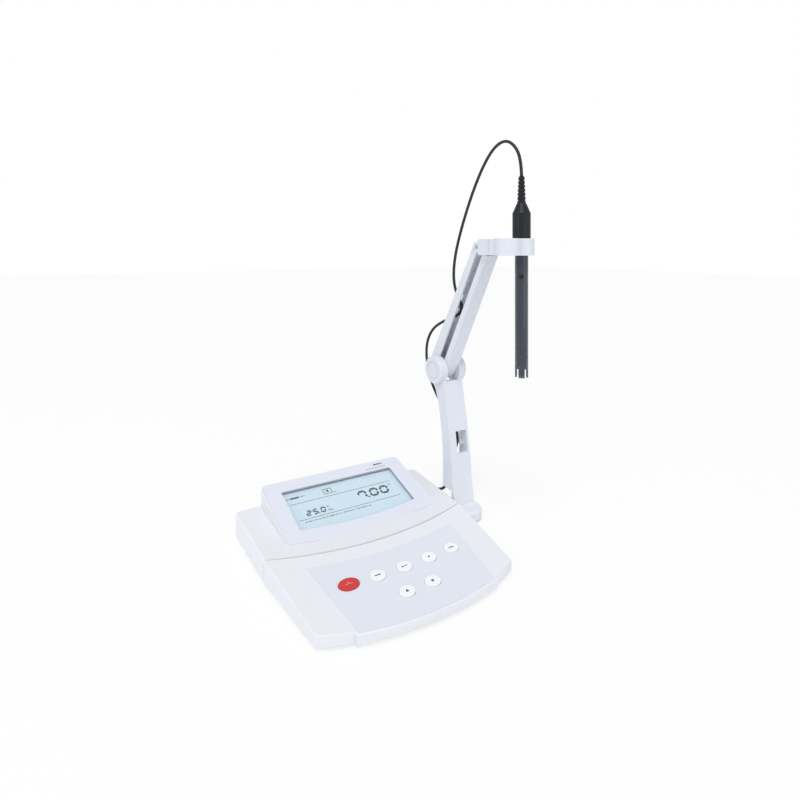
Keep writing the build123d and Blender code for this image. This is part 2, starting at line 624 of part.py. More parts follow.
with BuildPart() as lower_arm:
    # turret foot
    with BuildSketch(Plane.XY.offset(FLOOR_Z + 0.1)):
        with Locations((ARM_X, SWIVEL_Y)):
            Circle(TURRET_R)
    extrude(amount=TURRET_TOP - FLOOR_Z - 0.1)
    fillet(lower_arm.faces().sort_by(Axis.Z)[-1].edges(), TURRET_EDGE_R)
    # column, whose foot stays inside the turret's circle so that it clears the console
    with BuildSketch(at_x(COLUMN_X0)):
        with BuildLine():
            Spline(*FRONT_EDGE)
            Line(FRONT_EDGE[-1], BACK_EDGE[0])
            Spline(*BACK_EDGE)
            Polyline(BACK_EDGE[-1], (STEM_BACK_Y, COLUMN_BASE_Z), (STEM_BACK_Y, STEM_LOW_Z), FRONT_EDGE[0])
        make_face()
        with Locations(ELBOW):
            Circle(EAR_R)
    extrude(amount=COLUMN_W)
    with BuildSketch(Plane.XY.offset(FLOOR_Z)):
        with Locations((ARM_X, SWIVEL_Y + 20)):
            Rectangle(60, 60)
        with Locations((ARM_X, SWIVEL_Y)):
            Circle(STEM_R, mode=Mode.SUBTRACT)
    extrude(amount=COLUMN_BASE_Z - FLOOR_Z, mode=Mode.SUBTRACT)
    with BuildSketch(Plane.XY.offset(FLOOR_Z + 0.1)):
        with Locations((ARM_X, SWIVEL_Y)):
            Circle(TURRET_R)
            Circle(TURRET_R - 2, mode=Mode.SUBTRACT)
    extrude(amount=4.0)
    # cable channel, open to the back
    with BuildSketch(at_x(COLUMN_X0 + COLUMN_WALL)):
        with BuildLine():
            inner = [(y + COLUMN_WALL, z) for y, z in FRONT_EDGE[1:]]
            inner[0] = (inner[0][0] + 0.2, COLUMN_BASE_Z + 2.4)
            inner[-1] = (inner[-1][0], FORK_Z + 0.01)
            Spline(*inner)
            Polyline(inner[-1], (80, FORK_Z + 0.01), (80, COLUMN_BASE_Z + 2.4), inner[0])
        make_face()
    extrude(amount=COLUMN_W - 2 * COLUMN_WALL, mode=Mode.SUBTRACT)
    # gap between the two ears
    with BuildSketch(at_x(ARM_X - FORK_GAP / 2)):
        with Locations((50, FORK_Z + 20)):
            Rectangle(60, 40)
    extrude(amount=FORK_GAP, mode=Mode.SUBTRACT)
    # web under the links
    with BuildSketch(Plane.XY.offset(129.4)):
        with Locations((ARM_X, 46.2)):
            Rectangle(COLUMN_W - 2, 15.2)
    extrude(amount=3.6)
    # window in the front wall, with a hook that keeps the lead in the channel
    with BuildSketch(Plane.XZ.offset(-45)):
        with Locations(((COLUMN_WINDOW[0] + COLUMN_WINDOW[1]) / 2, (COLUMN_WINDOW[2] + COLUMN_WINDOW[3]) / 2)):
            Rectangle(COLUMN_WINDOW[1] - COLUMN_WINDOW[0], COLUMN_WINDOW[3] - COLUMN_WINDOW[2])
    extrude(amount=32, mode=Mode.SUBTRACT)
    with BuildSketch(Plane.XY.offset(COLUMN_HOOK[2])):
        with Locations((COLUMN_HOOK[0] + 2.5, COLUMN_HOOK[1] + 1.2)):
            Rectangle(5.0, 2.4)
    extrude(amount=2.0)
    with BuildSketch(Plane.XY.offset(COLUMN_HOOK[2] + 2.0)):
        with Locations((COLUMN_HOOK[0] + 0.8, COLUMN_HOOK[1] + 1.2)):
            Rectangle(1.6, 2.4)
    extrude(amount=3.0)
    # seat of the bush and of the stud's flange
    with BuildSketch(Plane.XY.offset(FLOOR_Z + 0.1)):
        with Locations((ARM_X, SWIVEL_Y)):
            Circle(8.3)
    extrude(amount=1.1, mode=Mode.SUBTRACT)
    with BuildSketch(Plane.XY.offset(FLOOR_Z + 1.2)):
        with Locations((ARM_X, SWIVEL_Y)):
            Circle(BUSH_R)
    extrude(amount=STUD_TOP - FLOOR_Z - 1.0, mode=Mode.SUBTRACT)
    for y, z in (rear_pivot, front_pivot):
        with BuildSketch(at_x(COLUMN_X0)):
            with Locations((y, z)):
                Circle(ELBOW_PIN_R + 0.02)
        extrude(amount=COLUMN_W, mode=Mode.SUBTRACT)
finish(lower_arm, "lower_arm")

for name, (y, z) in (("rear_elbow_pin", rear_pivot), ("front_elbow_pin", front_pivot)):
    with BuildPart() as pin:
        with BuildSketch(at_x(COLUMN_X0 + 0.1)):
            with Locations((y, z)):
                Circle(ELBOW_PIN_R)
        extrude(amount=COLUMN_W - 0.2)
    finish(pin, name)

CAP_T = 4.4
for name, x, way in (("left_elbow_cap", COLUMN_X0, -1), ("right_elbow_cap", COLUMN_X0 + COLUMN_W, 1)):
    with BuildPart() as cap:
        with BuildSketch(at_x(x)):
            with Locations(ELBOW):
                Circle(EAR_R)
        extrude(amount=CAP_T * way)
        fillet(cap.faces().sort_by(Axis.X)[-1 if way > 0 else 0].edges(), 1.0)
        with BuildSketch(at_x(x + (CAP_T - 0.5) * way)):
            with Locations(ELBOW):
                Circle(EAR_R * 0.64)
                Circle(EAR_R * 0.58, mode=Mode.SUBTRACT)
        extrude(amount=way, mode=Mode.SUBTRACT)
    finish(cap, name)

# ---------------------------------------------------------------- the two links of the upper arm
LINK_X0 = ARM_X - LINK_W / 2
WINDOW_LOW = (52.5, 70.4)    # along the rear link from its lower pivot: window, bar, window
WINDOW_HIGH = (75.2, 87.6)


def along_link(start, x):
    """A plane across the arm with its sketch x along a link and its sketch y towards the front."""
    return Plane(origin=(x, start[0], start[1]), x_dir=(0, -sin(lean), cos(lean)), z_dir=(1, 0, 0))


rear_back, rear_back_top = REAR_LINK_BACK
rear_front, rear_front_top = REAR_LINK_FRONT
with BuildPart() as rear_link:
    with BuildSketch(along_link(rear_pivot, LINK_X0)):
        with BuildLine():
            Polyline(
                (0, rear_front), (LINK_L, rear_front_top), (LINK_L, -REAR_HEAD_R + 0.2),
                (LINK_L - 9, -rear_back_top - 0.2), (4, -rear_back + 0.1), (-2.0, -rear_back + 2.0),
                (-4.0, -5.0), (-REAR_HEEL_R, 0), close=True,
            )
        make_face()
        Circle(REAR_HEEL_R)
        with Locations((LINK_L, 0)):
            Circle(REAR_HEAD_R)
    extrude(amount=LINK_W)
    with BuildSketch(along_link(rear_pivot, LINK_X0 + LINK_WALL)):
        with BuildLine():
            Polyline(
                (7, rear_front + 3), (LINK_L - 7, rear_front + 3), (LINK_L - 7, -rear_back_top + LINK_WALL - 0.2),
                (7, -rear_back + LINK_WALL + 0.2), close=True,
            )
        make_face()
        with Locations((LINK_L + 2, 0)):
            Rectangle(18, 18)
    extrude(amount=LINK_W - 2 * LINK_WALL, mode=Mode.SUBTRACT)
    with BuildSketch(along_link(rear_pivot, LINK_X0 + LINK_WALL + 0.8)):
        for low, high in (WINDOW_LOW, WINDOW_HIGH):
            with Locations(((low + high) / 2, -8.0)):
                Rectangle(high - low, 4 * LINK_WALL)
    extrude(amount=LINK_W - 2 * LINK_WALL - 1.6, mode=Mode.SUBTRACT)
    for along, radius in ((0, ELBOW_PIN_R + FIT), (LINK_L, TOP_PIN_R + 0.02)):
        with BuildSketch(along_link(rear_pivot, LINK_X0)):
            with Locations((along, 0)):
                Circle(radius)
        extrude(amount=LINK_W, mode=Mode.SUBTRACT)
finish(rear_link, "rear_link")

front_front, front_front_top = FRONT_LINK_FRONT
LIP = 1.6                    # the front wall of the front link goes on this far past its upper pivot
BLIND = 0.8                  # skin of the front link over the ends of its upper pin
with BuildPart() as front_link:
    with BuildSketch(along_link(front_pivot, LINK_X0)):
        with BuildLine():
            Polyline(
                (0, FRONT_HEEL_R), (14, front_front - 0.2), (LINK_L + LIP, front_front_top), (LINK_L + LIP, 1.5),
                (LINK_L, -2.0), (LINK_L - 5, -FRONT_LINK_BACK), (8, -FRONT_LINK_BACK), (0, -3.0), close=True,
            )
        make_face()
        Circle(FRONT_HEEL_R)
        with Locations((LINK_L, 0)):
            Circle(FRONT_HEAD_R)
    extrude(amount=LINK_W)
    with BuildSketch(along_link(front_pivot, LINK_X0 + LINK_WALL)):
        with BuildLine():
            Polyline(
                (7, -5), (LINK_L + 8, -5), (LINK_L + 8, front_front_top - 0.9), (LINK_L - 6, front_front_top - 0.9),
                (14, front_front - 0.2 - LINK_WALL), (7, front_front - 0.6 - LINK_WALL), close=True,
            )
        make_face()
    extrude(amount=LINK_W - 2 * LINK_WALL, mode=Mode.SUBTRACT)
    with BuildSketch(along_link(front_pivot, LINK_X0)):
        Circle(ELBOW_PIN_R + FIT)
    extrude(amount=LINK_W, mode=Mode.SUBTRACT)
    with BuildSketch(along_link(front_pivot, LINK_X0 + BLIND)):
        with Locations((LINK_L, 0)):
            Circle(TOP_PIN_R + 0.02)
    extrude(amount=LINK_W - 2 * BLIND, mode=Mode.SUBTRACT)
finish(front_link, "front_link")

for name, (y, z), short in (("rear_top_pin", rear_top, 0.0), ("front_top_pin", front_top, BLIND + 0.05)):
    with BuildPart() as pin:
        with BuildSketch(at_x(LINK_X0 + short)):
            with Locations((y, z)):
                Circle(TOP_PIN_R)
        extrude(amount=LINK_W - 2 * short)
    finish(pin, name)

# ---------------------------------------------------------------- electrode holder
LUG_W = LINK_W - 2 * LINK_WALL - 0.8
EYE_R = 3.0
OPEN_PIVOT_GAP = 0.15        # the linkage is opened at the front link's upper pin
ELECTRODE_X = ARM_X + LOBE_X
CHEEK_Y = rear_top[0] - REAR_HEAD_R - 0.6
BLOCK_FRONT_Y = -27.6
NECK_HALF = 7.7
BAR_HALF = LINK_W / 2 + 3.2
bore_r = TUBE_R + 0.08

with BuildPart() as electrode_holder:
    with BuildSketch(Plane.XY.offset(HOLDER_Z[0])) as holder_outline:
        with Locations((ARM_X, (CHEEK_Y + BLOCK_FRONT_Y) / 2)):
            Rectangle(2 * BAR_HALF, CHEEK_Y - BLOCK_FRONT_Y)
        with Locations((ARM_X, (CHEEK_Y + LOBE_Y) / 2)):
            Rectangle(2 * NECK_HALF, CHEEK_Y - LOBE_Y)
        with Locations((ARM_X - LOBE_X, LOBE_Y), (ARM_X + LOBE_X, LOBE_Y)):
            Circle(LOBE_R)
        corners = holder_outline.vertices()
        fillet([v for v in corners if abs(v.Y - BLOCK_FRONT_Y) < 0.01 and abs(v.X - ARM_X) < NECK_HALF + 1], 2.2)
        corners = holder_outline.vertices()
        fillet([v for v in corners if -43 < v.Y < -38], 3.0)
    extrude(amount=HOLDER_Z[1] - HOLDER_Z[0])
    # room for the end of the front link, open below and behind
    with BuildSketch(at_x(ARM_X - LINK_W / 2 - 0.4)):
        with Locations(front_top):
            Circle(FRONT_HEAD_R + LIP + 0.1)
        with Locations(((CHEEK_Y + 1 + front_top[0]) / 2, HOLDER_Z[0])):
            Rectangle(CHEEK_Y + 1 - front_top[0], 2 * (front_top[1] + FRONT_HEAD_R + 0.6 - HOLDER_Z[0]))
    extrude(amount=LINK_W + 0.8, mode=Mode.SUBTRACT)
    # lug between the walls of the links, for both pins
    with BuildSketch(at_x(ARM_X - LUG_W / 2)):
        with BuildLine():
            Polyline(
                (rear_top[0], rear_top[1] + EYE_R), (front_top[0] - EYE_R, rear_top[1] + EYE_R),
                (front_top[0] - EYE_R, front_top[1]), (front_top[0] + EYE_R, front_top[1]),
                (rear_top[0] - 1.4, rear_top[1] - 2.9), (rear_top[0], rear_top[1]), close=True,
            )
        make_face()
        with Locations(rear_top, front_top):
            Circle(EYE_R)
    extrude(amount=LUG_W)
    for (y, z), gap in ((rear_top, FIT), (front_top, OPEN_PIVOT_GAP)):
        with BuildSketch(at_x(ARM_X - LUG_W / 2)):
            with Locations((y, z)):
                Circle(TOP_PIN_R + gap)
        extrude(amount=LUG_W, mode=Mode.SUBTRACT)
    with BuildSketch(Plane.XY.offset(HOLDER_Z[0])):
        with Locations((ARM_X - LOBE_X, LOBE_Y), (ARM_X + LOBE_X, LOBE_Y)):
            Circle(bore_r)
    extrude(amount=HOLDER_Z[1] - HOLDER_Z[0], mode=Mode.SUBTRACT)
finish(electrode_holder, "electrode_holder")

# ---------------------------------------------------------------- electrode
GUARD_Z = 176.0
BULB_Z = 168.5
electrode_axis = Plane(origin=(ELECTRODE_X, LOBE_Y, 0), x_dir=(1, 0, 0), z_dir=(0, -1, 0))


def turned(points):
    """A piece turned about the electrode's axis, from the radius and height of each corner of its section."""
    with BuildPart() as piece:
        with BuildSketch(electrode_axis):
            with BuildLine():
                Polyline(*points, close=True)
            make_face()
        revolve(axis=Axis((ELECTRODE_X, LOBE_Y, 0), (0, 0, 1)))
    return piece


cap_low = HOLDER_Z[1] + 0.1
tube = [(4.6, GUARD_Z + 2), (TUBE_R, GUARD_Z + 2), (TUBE_R, cap_low), (4.6, cap_low)]
FILL_Z = 253.6
FILL_R = 2.3
fill_way = (-0.715, -0.7, 0)


def from_axis(distance):
    """A plane across the filling hole, this far from the electrode's axis."""
    where = (ELECTRODE_X + fill_way[0] * distance, LOBE_Y + fill_way[1] * distance, FILL_Z)
    return Plane(origin=where, z_dir=fill_way)


tube_form = turned(tube).part
with BuildPart() as electrode_tube:
    add(tube_form)
    with BuildSketch(from_axis(4.2)):
        Circle(FILL_R)
    extrude(amount=3, mode=Mode.SUBTRACT)
finish(electrode_tube, "electrode_tube")

with BuildPart() as filling_plug:
    with BuildSketch(from_axis(4.2)):
        Circle(FILL_R)
    extrude(amount=1.3)
finish(filling_plug, "filling_plug")

with BuildPart() as tip_guard:
    with BuildSketch(Plane.XY.offset(TUBE_END_Z)):
        with Locations((ELECTRODE_X, LOBE_Y)):
            Circle(TUBE_R)
            Circle(4.3, mode=Mode.SUBTRACT)
    extrude(amount=GUARD_Z + 2 - TUBE_END_Z)
    with BuildSketch(Plane.XY.offset(TUBE_END_Z)):
        with Locations((ELECTRODE_X, LOBE_Y)):
            Rectangle(3.6, 20)
            Rectangle(20, 3.6)
    extrude(amount=8.0, mode=Mode.SUBTRACT)
finish(tip_guard, "tip_guard")

stem = [(0, GUARD_Z), (2.0, GUARD_Z), (2.0, cap_low - 2), (0, cap_low - 2)]
finish(turned(stem), "glass_stem")
bulb = [
    (0, BULB_Z - 3.4), (2.2, BULB_Z - 2.4), (3.4, BULB_Z), (3.0, BULB_Z + 2.6), (2.0, GUARD_Z), (0, GUARD_Z),
]
finish(turned(bulb), "glass_bulb")
seal = [(2.05, GUARD_Z + 2), (4.55, GUARD_Z + 2), (4.55, GUARD_Z + 7), (2.05, GUARD_Z + 7)]
finish(turned(seal), "junction_ring")

cap_profile = [
    (0, cap_low), (CAP_R, cap_low), (CAP_R, CAP_TOP_Z - 9.0), (CAP_R - 0.6, CAP_TOP_Z - 7.9),
    (4.5, CAP_TOP_Z - 0.5), (4.0, CAP_TOP_Z), (0, CAP_TOP_Z),
]
finish(turned(cap_profile), "electrode_cap")

RIBS = 7
rib_step = (RELIEF_TOP_Z - CAP_TOP_Z) / RIBS
relief = [(LEAD_R, CAP_TOP_Z), (3.9, CAP_TOP_Z)]
for i in range(RIBS):
    radius = 3.9 - 1.2 * i / RIBS
    relief += [(radius, CAP_TOP_Z + (i + 0.62) * rib_step), (radius - 0.75, CAP_TOP_Z + (i + 0.70) * rib_step)]
    relief += [(radius - 0.75, CAP_TOP_Z + (i + 0.94) * rib_step)]
    if i < RIBS - 1:
        relief += [(radius - 1.2 / RIBS, CAP_TOP_Z + (i + 1.02) * rib_step)]
relief += [(2.2, RELIEF_TOP_Z), (LEAD_R, RELIEF_TOP_Z)]
finish(turned(relief), "strain_relief")


# ---------------------------------------------------------------- electrode lead
# Corner points of the lead's route, from the strain relief to the coil. It is split where the arm bends.
RELIEF_EXIT = (ELECTRODE_X, LOBE_Y, RELIEF_TOP_Z)
ROUTE = [
    RELIEF_EXIT, (127.2, -51.4, 360.0), (126.7, -46.4, 374.6), (125.8, -34.0, 384.6), (124.8, -19.0, 380.6),
    (123.8, -5.0, 365.4), (122.6, 8.0, 343.6), (121.6, 19.8, 319.0), (120.8, 30.0, 294.0), (119.8, 37.0, 270.0),
    (118.8, 38.4, 248.0), (118.8, 33.6, 231.6), (120.6, 25.6, 219.4), (121.0, 28.4, 210.6), (119.4, 41.4, 204.0),
    (118.3, 58.4, 197.4), (118.3, 75.4, 187.4), (118.3, 86.0, 172.2), (118.3, 87.8, 154.4), (118.4, 83.0, 135.8),
    (118.8, 73.2, 118.4), (119.6, 58.8, 104.4), (120.8, 43.0, 93.4), (121.4, 33.4, 79.8), (120.4, 34.8, 65.6),
    (120.6, 43.6, 52.6), (122.4, 50.6, 38.2), (124.6, 54.8, 22.8), (125.4, 61.8, 8.4), (123.6, 76.0, 1.6),
    (119.0, 93.0, 1.6), (109.6, 109.4, 1.6), (94.2, 117.6, 1.6), (76.6, 118.4, 1.6), (59.0, 114.0, 1.6),
    (41.6, 110.4, 1.6), (24.0, 109.2, 1.6), (6.4, 107.6, 1.6), (-12.0, 107.0, 1.6),
]
TAIL = [
    (-12.0, 141.0, 4.9), (-1.0, 143.0, 3.8), (11.0, 149.0, 2.4), (26.0, 155.6, 3.6), (38.6, 150.4, 7.0),
    (42.0, 138.0, 11.6), (BNC[0], 125.6, BNC[1]),
]
SPLITS = (8, 13, 22)         # a stretch ends halfway along the run that follows each of these corners


def halfway(a, b):
    """The point midway between two corners."""
    return tuple((p + q) / 2 for p, q in zip(a, b))


def corner_radii(points):
    """The arc at each corner of a route: 0.45 of the shorter run over the tangent of half the turn."""
    found = []
    for a, b, c in zip(points, points[1:], points[2:]):
        into, out = Vector(*b) - Vector(*a), Vector(*c) - Vector(*b)
        half_turn = radians(into.get_angle(out)) / 2
        found.append(0.45 * min(into.length, out.length) / tan(half_turn))
    return found


def lead(corners, first, last, name):
    """One stretch of the lead. Where it joins another, it ends halfway along the run they share."""
    starts_at_end, stops_at_end = first == 0, last == len(corners) - 1
    start = corners[0] if starts_at_end else halfway(corners[first], corners[first + 1])
    end = corners[-1] if stops_at_end else halfway(corners[last], corners[last + 1])
    bends = range(first + 1, last if stops_at_end else last + 1)
    points = [start] + [corners[i] for i in bends] + [end]
    radii = [corner_radii(corners)[i - 1] for i in bends]
    with BuildPart() as piece:
        with BuildLine() as route:
            FilletPolyline(*points, radius=radii)
        path = route.wires()[0]
        with BuildSketch(Plane(origin=path @ 0, z_dir=path % 0)):
            Circle(LEAD_R)
        sweep(path=path)
    expected = path.length * pi * LEAD_R**2
    share = round(piece.part.volume / expected, 4)
    print(name, "length", round(path.length, 1), "volume share", share, "radii", [round(r) for r in radii])
    return finish(piece, name)


lead(ROUTE, 0, SPLITS[0], "lead_loop")
lead(ROUTE, SPLITS[0], SPLITS[1], "lead_upper")
lead(ROUTE, SPLITS[1], SPLITS[2], "lead_elbow")
lead(ROUTE, SPLITS[2], len(ROUTE) - 1, "lead_floor")
lead(TAIL, 0, len(TAIL) - 1, "lead_tail")

COIL_LOW = 0.6
COIL_SIDE = 4 * LEAD_R + 0.3
with BuildPart() as lead_coil:
    with BuildSketch(Plane.XY.offset(COIL_LOW)):
        with Locations(COIL_CENTRE):
            Circle(COIL_MEAN_R + COIL_SIDE / 2)
            Circle(COIL_MEAN_R - COIL_SIDE / 2, mode=Mode.SUBTRACT)
    extrude(amount=COIL_SIDE)
    fillet(lead_coil.edges(), 1.4)
finish(lead_coil, "lead_coil")
print("coil holds", round(COIL_TURNS * 2 * pi * COIL_MEAN_R, 1))

TIE_T = 0.5
TIE_W = 4.0
tie_x = COIL_CENTRE[0] - COIL_MEAN_R
tie_middle = (tie_x, COIL_CENTRE[1] - TIE_W / 2, COIL_LOW + COIL_SIDE / 2)
tie_plane = Plane(origin=tie_middle, x_dir=(1, 0, 0), z_dir=(0, 1, 0))
with BuildPart() as coil_tie:
    with BuildSketch(tie_plane):
        RectangleRounded(COIL_SIDE + 0.4 + 2 * TIE_T, COIL_SIDE + 0.1 + 2 * TIE_T, 1.5)
        RectangleRounded(COIL_SIDE + 0.4, COIL_SIDE + 0.1, 1.0, mode=Mode.SUBTRACT)
    extrude(amount=TIE_W)
finish(coil_tie, "coil_tie")

# ---------------------------------------------------------------- plug on the electrode socket
plug_axis = Plane(origin=(BNC[0], 0, BNC[1]), x_dir=(1, 0, 0), z_dir=(0, 0, 1))


def turned_plug(points):
    """A piece turned about the plug's axis, from the radius and y of each corner of its section."""
    with BuildPart() as piece:
        with BuildSketch(plug_axis):
            with BuildLine():
                Polyline(*points, close=True)
            make_face()
        revolve(axis=Axis((BNC[0], 0, BNC[1]), (0, 1, 0)))
    return piece


shell = [(5.6, 96.6), (7.2, 96.6), (7.2, 109.0), (5.6, 110.4), (5.0, 110.4), (5.0, 104.4), (5.6, 104.4)]
finish(turned_plug(shell), "plug_shell")
body = [
    (2.5, 95.6), (3.9, 95.6), (3.9, 103.4), (4.9, 103.4), (4.9, 113.0), (LEAD_R, 113.0), (LEAD_R, 108.0),
    (2.5, 108.0),
]
finish(turned_plug(body), "plug_body")
pin = [(0, 97.0), (0.8, 97.0), (0.8, 101.0), (2.45, 101.0), (2.45, 107.9), (0, 107.9)]
finish(turned_plug(pin), "plug_pin")
boot = [(LEAD_R, 113.0), (4.9, 113.0), (4.6, 116.0), (2.6, 125.6), (LEAD_R, 125.6)]
finish(turned_plug(boot), "plug_boot")
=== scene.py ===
"""Looks of the bench pH meter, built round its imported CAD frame."""
import math
import bmesh
import bpy
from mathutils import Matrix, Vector


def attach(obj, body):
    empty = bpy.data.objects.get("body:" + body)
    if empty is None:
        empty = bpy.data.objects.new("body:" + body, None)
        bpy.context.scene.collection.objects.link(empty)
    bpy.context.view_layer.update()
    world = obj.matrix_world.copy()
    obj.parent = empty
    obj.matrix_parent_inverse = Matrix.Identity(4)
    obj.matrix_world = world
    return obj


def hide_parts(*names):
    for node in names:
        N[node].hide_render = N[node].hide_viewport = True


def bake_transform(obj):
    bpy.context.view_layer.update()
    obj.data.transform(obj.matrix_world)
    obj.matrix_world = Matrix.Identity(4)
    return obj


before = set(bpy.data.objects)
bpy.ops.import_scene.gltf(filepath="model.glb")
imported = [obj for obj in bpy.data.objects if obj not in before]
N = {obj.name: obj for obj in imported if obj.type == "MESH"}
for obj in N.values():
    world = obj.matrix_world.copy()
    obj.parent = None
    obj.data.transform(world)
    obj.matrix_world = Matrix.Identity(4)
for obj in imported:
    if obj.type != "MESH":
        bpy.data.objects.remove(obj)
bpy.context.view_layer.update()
SHIFT = (-17.025, -4.5, 0.0)      # from the console's middle to the frame's origin, mm


def P(x, y, z):
    """A point laid out about the console's middle, in mm, as a point of the frame, in metres."""
    return Vector(((x + SHIFT[0]) / 1000, (y + SHIFT[1]) / 1000, (z + SHIFT[2]) / 1000))


# ------------------------------------------------------------------ camera, lights, surroundings
EYE = P(-227.8, -398.0, 278.9)
YAW = -0.489
LENS = 22.752
FRAME_SHIFT = (0.0499, -0.1886)
cam_data = bpy.data.cameras.new("camera")
cam = bpy.data.objects.new("camera", cam_data)
bpy.context.scene.collection.objects.link(cam)
cam.location = EYE
cam.rotation_euler = (math.radians(90), 0, YAW)
cam_data.sensor_width = 36
cam_data.lens = LENS
cam_data.shift_x, cam_data.shift_y = FRAME_SHIFT
cam_data.clip_start = 0.01
bpy.context.scene.camera = cam


def light(name, kind, where, aim, power, size):
    """A white light at one point, aimed at another."""
    data = bpy.data.lights.new(name, kind)
    data.energy = power
    if kind == "AREA":
        data.size = size
    ob = bpy.data.objects.new(name, data)
    bpy.context.scene.collection.objects.link(ob)
    ob.location = where
    ob.rotation_euler = (Vector(aim) - Vector(where)).to_track_quat("-Z", "Y").to_euler()
    return ob


SUN_SPREAD = math.radians(22)
MIDDLE = (0.05, 0, 0.2)
sun = light("sun", "SUN", (-0.42, -0.42, 1.25), (0, 0, 0.1), 1.25, 0)
sun.data.angle = SUN_SPREAD
light("window", "AREA", (-0.95, 0.0, 0.55), MIDDLE, 1.2, 0.5)
light("bounce", "AREA", (0.25, -1.15, 0.45), MIDDLE, 1.7, 0.9)

world = bpy.data.worlds.new("world")
bpy.context.scene.world = world
world.use_nodes = True
nt = world.node_tree
ambient = nt.nodes["Background"]
ambient.inputs["Color"].default_value = (0.95, 0.97, 1.0, 1)
ambient.inputs["Strength"].default_value = 0.62
seen = nt.nodes.new("ShaderNodeBackground")
seen.inputs["Color"].default_value = (1, 1, 1, 1)
seen.inputs["Strength"].default_value = 1.0
which = nt.nodes.new("ShaderNodeLightPath")
mixed = nt.nodes.new("ShaderNodeMixShader")
nt.links.new(which.outputs["Is Camera Ray"], mixed.inputs["Fac"])
nt.links.new(ambient.outputs["Background"], mixed.inputs[1])
nt.links.new(seen.outputs["Background"], mixed.inputs[2])
nt.links.new(mixed.outputs["Shader"], nt.nodes["World Output"].inputs["Surface"])
bpy.context.scene.view_settings.view_transform = "Standard"


# ------------------------------------------------------------------ materials
FINE_DETAIL = 3.0
WIDE_SCALE = 14.0
WIDE_DETAIL = 4.0
NOISE_LOW, NOISE_HIGH = 0.3, 0.7        # where most of the wide noise lies
ROUGH_VARY = 0.05
COAT_ROUGH = 0.2
BUMP_DEPTH = 0.0002                     # m


def roughen(nt, bsdf, noise, strength):
    """Links a noise to the shader's normal as a fine bump."""
    relief = nt.nodes.new("ShaderNodeBump")
    relief.inputs["Strength"].default_value = strength
    relief.inputs["Distance"].default_value = BUMP_DEPTH
    nt.links.new(noise.outputs["Fac"], relief.inputs["Height"])
    nt.links.new(relief.outputs["Normal"], bsdf.inputs["Normal"])


def material(name, colour, rough, bump=0.0, scale=900.0, vary=0.03, metallic=0.0, coat=0.0,
             specular=0.5, streak=None):
    """A Principled material with noise in its colour, its roughness and its bump, in object coordinates."""
    m = bpy.data.materials.new(name)
    m.use_nodes = True
    nt = m.node_tree
    bsdf = nt.nodes["Principled BSDF"]
    co = nt.nodes.new("ShaderNodeTexCoord")
    source = co.outputs["Object"]
    if streak:
        stretch = nt.nodes.new("ShaderNodeMapping")
        stretch.inputs["Scale"].default_value = streak
        nt.links.new(source, stretch.inputs["Vector"])
        source = stretch.outputs["Vector"]
    fine = nt.nodes.new("ShaderNodeTexNoise")
    fine.inputs["Scale"].default_value = scale
    fine.inputs["Detail"].default_value = FINE_DETAIL
    nt.links.new(source, fine.inputs["Vector"])
    wide = nt.nodes.new("ShaderNodeTexNoise")
    wide.inputs["Scale"].default_value = WIDE_SCALE
    wide.inputs["Detail"].default_value = WIDE_DETAIL
    nt.links.new(co.outputs["Object"], wide.inputs["Vector"])
    ramp = nt.nodes.new("ShaderNodeValToRGB")
    low = [max(0.0, c * (1 - vary)) for c in colour[:3]] + [1]
    high = [min(1.0, c * (1 + vary)) for c in colour[:3]] + [1]
    ramp.color_ramp.elements[0].position = NOISE_LOW
    ramp.color_ramp.elements[0].color = low
    ramp.color_ramp.elements[1].position = NOISE_HIGH
    ramp.color_ramp.elements[1].color = high
    nt.links.new(wide.outputs["Fac"], ramp.inputs["Fac"])
    nt.links.new(ramp.outputs["Color"], bsdf.inputs["Base Color"])
    polish = nt.nodes.new("ShaderNodeMapRange")
    polish.inputs["From Min"].default_value = NOISE_LOW
    polish.inputs["From Max"].default_value = NOISE_HIGH
    polish.inputs["To Min"].default_value = max(0.02, rough - ROUGH_VARY)
    polish.inputs["To Max"].default_value = min(1.0, rough + ROUGH_VARY)
    nt.links.new(wide.outputs["Fac"], polish.inputs["Value"])
    nt.links.new(polish.outputs["Result"], bsdf.inputs["Roughness"])
    bsdf.inputs["Metallic"].default_value = metallic
    bsdf.inputs["Specular IOR Level"].default_value = specular
    bsdf.inputs["Coat Weight"].default_value = coat
    bsdf.inputs["Coat Roughness"].default_value = COAT_ROUGH
    if bump:
        roughen(nt, bsdf, fine, bump)
    return m


